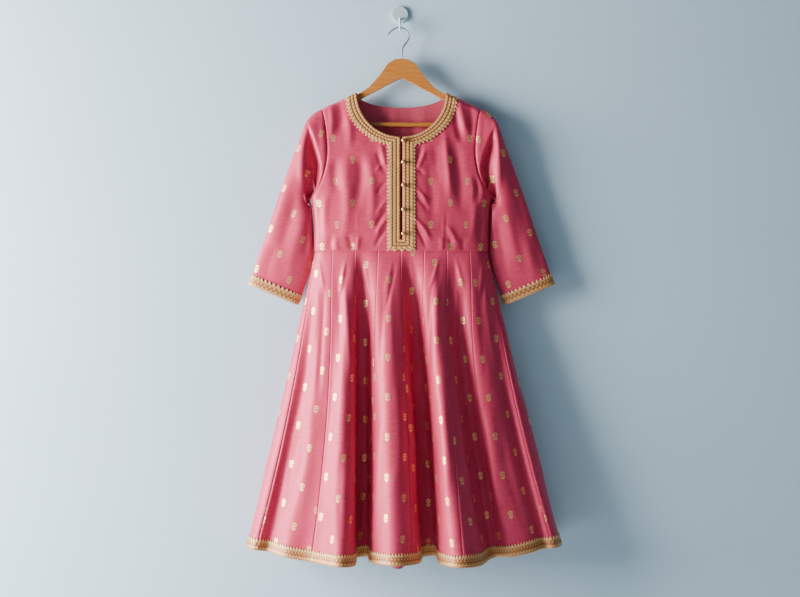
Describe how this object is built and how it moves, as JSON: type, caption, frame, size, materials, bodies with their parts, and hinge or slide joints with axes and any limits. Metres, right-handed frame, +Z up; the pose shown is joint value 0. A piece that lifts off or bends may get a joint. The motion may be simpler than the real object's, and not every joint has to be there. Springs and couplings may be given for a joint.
{
  "type": "anarkali gown on hanger with wall hook",
  "caption": "Flared pink silk gown with gold lace at neck, placket, cuffs and hem, on a wooden hanger hung from a round wall hook.",
  "frame": {"origin": "centre of the wall plate's back face, which is where the whole object is held", "axes": "+Z up, +X to the viewer's right, +Y into the wall; the gown's front faces -Y"},
  "size_m": [0.753, 0.207, 1.3501],
  "materials": {
    "silk_pink": "slubbed art silk with a soft sheen",
    "zari_lace": "woven metallic gold braid",
    "button_gold": "satin gold",
    "beech_wood": "varnished, satin",
    "hook_steel": "polished wire",
    "wall_plate_metal": "satin"
  },
  "bodies": {
    "root": {"bodice_front": "silk_pink", "bodice_back": "silk_pink", "sleeve_left": "silk_pink", "sleeve_right": "silk_pink", "kali_front_1": "silk_pink", "kali_front_2": "silk_pink", "kali_front_3": "silk_pink", "kali_front_4": "silk_pink", "kali_front_5": "silk_pink", "kali_front_6": "silk_pink", "kali_front_7": "silk_pink", "kali_front_8": "silk_pink", "kali_back_1": "silk_pink", "kali_back_2": "silk_pink", "kali_back_3": "silk_pink", "kali_back_4": "silk_pink", "kali_back_5": "silk_pink", "kali_back_6": "silk_pink", "kali_back_7": "silk_pink", "kali_back_8": "silk_pink", "neck_placket_lace": "zari_lace", "hem_lace": "zari_lace", "cuff_lace_left": "zari_lace", "cuff_lace_right": "zari_lace", "button_1": "button_gold", "button_2": "button_gold", "button_3": "button_gold", "button_4": "button_gold", "button_5": "button_gold", "hanger_arms": "beech_wood", "hanger_bar": "beech_wood", "hanger_hook": "hook_steel", "wall_plate": "wall_plate_metal", "wall_peg": "wall_plate_metal"}
  },
  "joints": []
}
